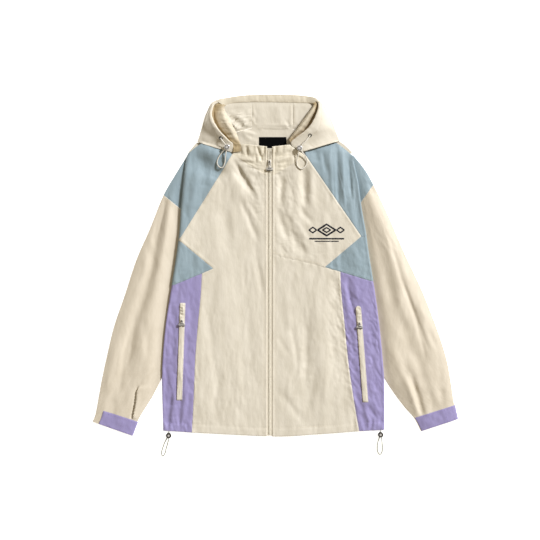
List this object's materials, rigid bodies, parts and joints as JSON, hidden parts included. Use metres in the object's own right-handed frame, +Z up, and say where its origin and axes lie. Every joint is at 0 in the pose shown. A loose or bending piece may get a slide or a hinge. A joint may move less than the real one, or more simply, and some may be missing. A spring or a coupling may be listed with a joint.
{
  "type": "windbreaker jacket",
  "caption": "Hooded zip-through windbreaker laid flat, with contrast shoulder and side panels, zipped pockets, cuff tabs and corded hood and hem.",
  "frame": {"origin": "on the surface under the middle of the laid-out jacket, without its cords and cord locks", "axes": "+X to the viewer's right, +Y from hem to hood, +Z up from the surface"},
  "size_m": [0.8645, 0.8562, 0.0291],
  "materials": {
    "cream_nylon": "matte crinkled nylon",
    "grey_blue_nylon": "matte crinkled nylon",
    "lilac_nylon": "matte crinkled nylon",
    "cream_zip_tape": "woven tape",
    "black_label": "woven label",
    "silver_metal": "satin silver",
    "off_white_elastic": "braided elastic"
  },
  "bodies": {
    "jacket": {"back_panel": "cream_nylon", "front_left": "cream_nylon", "front_right_upper": "cream_nylon", "front_right_lower": "cream_nylon", "collar_left": "cream_nylon", "collar_right": "cream_nylon", "sleeve_left": "cream_nylon", "sleeve_right": "cream_nylon", "hood_side_left": "cream_nylon", "hood_side_right": "cream_nylon", "hood_centre": "cream_nylon", "hood_facing_left": "cream_nylon", "hood_facing_right": "cream_nylon", "hood_facing_top": "cream_nylon", "shoulder_yoke_left": "grey_blue_nylon", "shoulder_yoke_right": "grey_blue_nylon", "side_wedge_left": "grey_blue_nylon", "side_wedge_right": "grey_blue_nylon", "sleeve_cap_left": "grey_blue_nylon", "sleeve_cap_right": "grey_blue_nylon", "side_panel_left": "lilac_nylon", "side_panel_right": "lilac_nylon", "cuff_tab_left": "lilac_nylon", "cuff_tab_right": "lilac_nylon", "zip_tape_left": "cream_zip_tape", "zip_tape_right": "cream_zip_tape", "zip_chain": "cream_zip_tape", "pocket_zip_left": "cream_zip_tape", "pocket_zip_right": "cream_zip_tape", "neck_label": "black_label", "front_slider": "silver_metal", "pocket_slider_left": "silver_metal", "pocket_slider_right": "silver_metal", "hood_eyelet_left": "silver_metal", "hood_eyelet_right": "silver_metal", "hood_lock_left": "silver_metal", "hood_lock_right": "silver_metal", "hem_lock_left": "silver_metal", "hem_lock_right": "silver_metal", "hood_cord_left": "off_white_elastic", "hood_cord_right": "off_white_elastic", "hood_loop_left": "off_white_elastic", "hood_loop_right": "off_white_elastic", "hem_cord_left": "off_white_elastic", "hem_cord_right": "off_white_elastic", "hem_loop_left": "off_white_elastic", "hem_loop_right": "off_white_elastic"},
    "front_pull": {"front_pull": "silver_metal"},
    "pocket_pull_left": {"pocket_pull_left": "silver_metal"},
    "pocket_pull_right": {"pocket_pull_right": "silver_metal"}
  },
  "joints": [
    {"name": "front_pull_hinge", "type": "hinge", "parent": "jacket", "child": "front_pull", "pos_m": [-0.013, 0.244, 0.02132], "axis": [-1, 0, 0], "range_deg": [0, 140]},
    {"name": "pocket_pull_left_hinge", "type": "hinge", "parent": "jacket", "child": "pocket_pull_left", "pos_m": [-0.2195, -0.131, 0.01653], "axis": [-1, 0, 0], "range_deg": [0, 140]},
    {"name": "pocket_pull_right_hinge", "type": "hinge", "parent": "jacket", "child": "pocket_pull_right", "pos_m": [0.19923, -0.137, 0.01619], "axis": [-1, 0, 0], "range_deg": [0, 140]}
  ]
}
